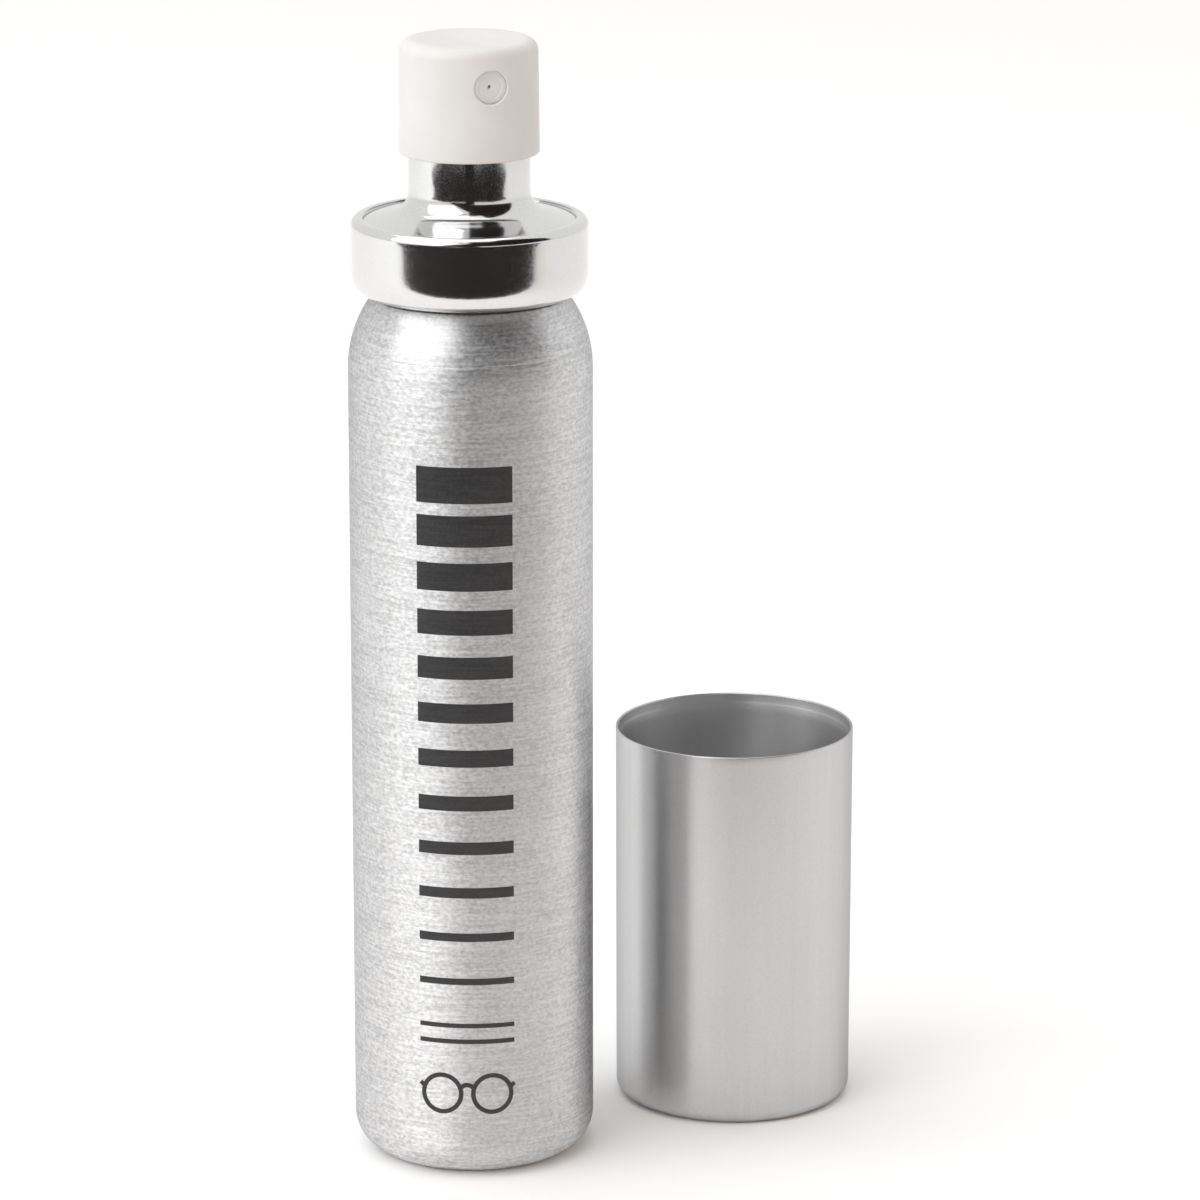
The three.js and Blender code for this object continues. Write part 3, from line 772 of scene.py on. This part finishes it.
def wrapped(tree, geometry, size):
    group = put(tree, "GeometryNodeGroup", node_tree=wrapTree)
    for key, value in (("Geometry", geometry), ("Radius", size["Radius"]), ("Azimuth", size["Azimuth"])):
        tree.links.new(value, group.inputs[key])
    return group.outputs[0]


def sweep(tree, curve, section):
    inputs = {"Curve": curve, "Profile Curve": section, "Fill Caps": True}
    return put(tree, "GeometryNodeCurveToMesh", inputs).outputs[0]


def makeBarTree():
    tree, size = newTree("bar_stack", {
        "Radius": "Float", "Azimuth": "Float", "Count": "Int", "Top": "Float", "Bottom": "Float",
        "Heavy": "Float", "Light": "Float", "Fade": "Float", "Width": "Float", "Ink": "Float",
        "Material": "Material",
    })
    index = put(tree, "GeometryNodeInputIndex").outputs[0]
    share = calc(tree, "DIVIDE", index, calc(tree, "SUBTRACT", size["Count"], 1))
    lighter = calc(tree, "POWER", share, size["Fade"])
    change = calc(tree, "MULTIPLY", lighter, calc(tree, "SUBTRACT", size["Light"], size["Heavy"]))
    thick = calc(tree, "ADD", size["Heavy"], change)
    first = calc(tree, "SUBTRACT", size["Top"], calc(tree, "DIVIDE", size["Heavy"], 2))
    last = calc(tree, "ADD", size["Bottom"], calc(tree, "DIVIDE", size["Light"], 2))
    height = calc(tree, "ADD", first, calc(tree, "MULTIPLY", share, calc(tree, "SUBTRACT", last, first)))
    half = calc(tree, "DIVIDE", size["Ink"], 2)
    middle = put(tree, "ShaderNodeCombineXYZ", {1: height, 2: half}).outputs[0]
    line = put(tree, "GeometryNodeMeshLine", {"Count": size["Count"]}).outputs[0]
    points = put(tree, "GeometryNodeSetPosition", {"Geometry": line, "Position": middle}).outputs[0]
    block = put(tree, "GeometryNodeMeshCube", {"Size": (1, 1, 1), "Vertices X": 33}).outputs[0]
    scale = put(tree, "ShaderNodeCombineXYZ", {0: size["Width"], 1: thick, 2: size["Ink"]}).outputs[0]
    bars = put(tree, "GeometryNodeInstanceOnPoints", {"Points": points, "Instance": block, "Scale": scale})
    real = put(tree, "GeometryNodeRealizeInstances", {0: bars.outputs[0]}).outputs[0]
    endTree(tree, smoothed(tree, wrapped(tree, real, size)), size["Material"])
    return tree


def makeLineArtTree():  # sweeps flat line art with a stroke of ink
    tree, size = newTree("line_art", {
        "Radius": "Float", "Azimuth": "Float", "Stroke": "Float", "Ink": "Float", "Material": "Material",
    })
    curves = put(tree, "GeometryNodeMeshToCurve", {"Mesh": size["Geometry"]}).outputs[0]
    sides = {"Width": size["Stroke"], "Height": size["Ink"]}
    section = put(tree, "GeometryNodeCurvePrimitiveQuadrilateral", sides).outputs[0]
    swept = sweep(tree, curves, section)
    endTree(tree, smoothed(tree, wrapped(tree, swept, size)), size["Material"])
    return tree


def circlePoints(x, y, radius, steps=48):
    angles = [2 * math.pi * i / steps for i in range(steps)]
    return [(x + radius * math.cos(a), y + radius * math.sin(a)) for a in angles]


def makePrint():
    common = {"Radius": bottle["radius"] * mm, "Azimuth": math.radians(label["azimuth"]),
              "Ink": label["ink"] * mm, "Material": finishes["print_ink"]}
    bars = runTree("print_bars", makeBarTree(), {
        **common, "Count": label["bars"], "Top": label["top"] * mm, "Bottom": label["bottom"] * mm,
        "Heavy": label["heavy"] * mm, "Light": label["light"] * mm, "Fade": label["fade"],
        "Width": label["width"] * mm,
    })
    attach(bars, "bottle")

    lens, gap, middle, half = label["lensRadius"], label["lensGap"], label["spectacles"], label["width"] / 2
    side = lens + gap / 2
    loops = [circlePoints(-side, middle, lens), circlePoints(side, middle, lens)]
    bridge = [(x, y + middle) for x, y in arc(0, 0.2, gap / 2 + 0.12, 160, 20, 10)]
    arms = [[(s * (side + lens - 0.1), middle + 0.5), (s * half, middle + 0.9)] for s in (-1, 1)]
    hairline = [(-half + label["width"] * i / 32, label["hairline"]) for i in range(33)]
    points, edges = [], []
    for loop in loops:
        start = len(points)
        points += loop
        edges += [(start + i, start + (i + 1) % len(loop)) for i in range(len(loop))]
    for line in (bridge, hairline, *arms):
        start = len(points)
        points += line
        edges += [(start + i, start + i + 1) for i in range(len(line) - 1)]
    art = bpy.data.meshes.new("line_art")
    art.from_pydata([(x * mm, y * mm, label["ink"] / 2 * mm) for x, y in points], edges, [])
    lines = runTree("print_lines", makeLineArtTree(), {**common, "Stroke": label["stroke"] * mm}, art)
    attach(lines, "bottle")
    print("print ready", len(bars.data.polygons), len(lines.data.polygons), "faces")


makePrint()


def makeCoilTree():  # a round wire wound with dead coils at both ends
    tree, size = newTree("coil", {
        "Coil Radius": "Float", "Wire": "Float", "Low": "Float", "High": "Float", "Turns": "Float",
        "Steps": "Int", "Material": "Material",
    })
    line = put(tree, "GeometryNodeMeshLine", {"Count": size["Steps"]}).outputs[0]
    index = put(tree, "GeometryNodeInputIndex").outputs[0]
    share = calc(tree, "DIVIDE", index, calc(tree, "SUBTRACT", size["Steps"], 1))
    angle = calc(tree, "MULTIPLY", share, calc(tree, "MULTIPLY", size["Turns"], 2 * math.pi))
    live = {0: share, 1: 0.06, 2: 0.94}  # the dead coils are the first and last share of the wire
    rise = put(tree, "ShaderNodeMapRange", live, interpolation_type="SMOOTHSTEP").outputs[0]
    even = mixOf(tree, rise, share, 0.5)
    low = calc(tree, "ADD", size["Low"], size["Wire"])
    high = calc(tree, "SUBTRACT", size["High"], size["Wire"])
    height = calc(tree, "ADD", low, calc(tree, "MULTIPLY", even, calc(tree, "SUBTRACT", high, low)))
    x = calc(tree, "MULTIPLY", size["Coil Radius"], calc(tree, "COSINE", angle))
    y = calc(tree, "MULTIPLY", size["Coil Radius"], calc(tree, "SINE", angle))
    wound = put(tree, "ShaderNodeCombineXYZ", {0: x, 1: y, 2: height}).outputs[0]
    placed = put(tree, "GeometryNodeSetPosition", {"Geometry": line, "Position": wound}).outputs[0]
    curve = put(tree, "GeometryNodeMeshToCurve", {"Mesh": placed}).outputs[0]
    circle = {"Resolution": 10, "Radius": size["Wire"]}
    section = put(tree, "GeometryNodeCurvePrimitiveCircle", circle).outputs[0]
    endTree(tree, smoothed(tree, sweep(tree, curve, section), 60), size["Material"])
    return tree


springs = {  # wire is the wire's radius, travel what the joint takes from the spring's height
    "return_spring": {"body": "bottle", "joint": "pump_stroke", "wire": 0.22, "turns": 7, "anchor": "low",
                      "travel": 4.0},
    "precompression_spring": {"body": "plunger", "joint": "piston_lag", "wire": 0.14, "turns": 3.5,
                              "anchor": "high", "travel": 0.6},
}
stepsPerTurn = 36


def makeSprings():
    tree = makeCoilTree()
    for node, spring in springs.items():
        low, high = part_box(node)
        wire = spring["wire"] * mm
        coil = runTree(node + "_coil", tree, {
            "Coil Radius": high.x - wire, "Wire": wire, "Low": low.z, "High": high.z,
            "Turns": float(spring["turns"]), "Steps": int(spring["turns"] * stepsPerTurn),
            "Material": finishes["spring_steel"],
        })
        settle(coil, spring["body"], "spring_steel", node)
        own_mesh(coil)


makeSprings()


innerFinish = {  # the inner pieces keep their CAD shape and get a finish
    "neck_gasket": "seal_rubber",
    "stem_seal": "seal_rubber",
    "pump_housing": "natural_plastic",
    "turret_bush": "natural_plastic",
    "stem": "natural_plastic",
    "piston_rod": "natural_plastic",
    "dip_tube": "soft_plastic",
    "piston": "soft_plastic",
    "check_ball": "spring_steel",
}


def finishInnerPieces():
    for node, finish in innerFinish.items():
        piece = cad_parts[node]
        piece.data.materials.clear()
        piece.data.materials.append(finishes[finish])
        piece.data.polygons.foreach_set("use_smooth", [True] * len(piece.data.polygons))
        weld = piece.modifiers.new("weld", "WELD")
        weld.merge_threshold = 0.002 * mm
        split = piece.modifiers.new("hard_edges", "EDGE_SPLIT")
        split.split_angle = math.radians(30)
    print("inner pieces finished")


finishInnerPieces()
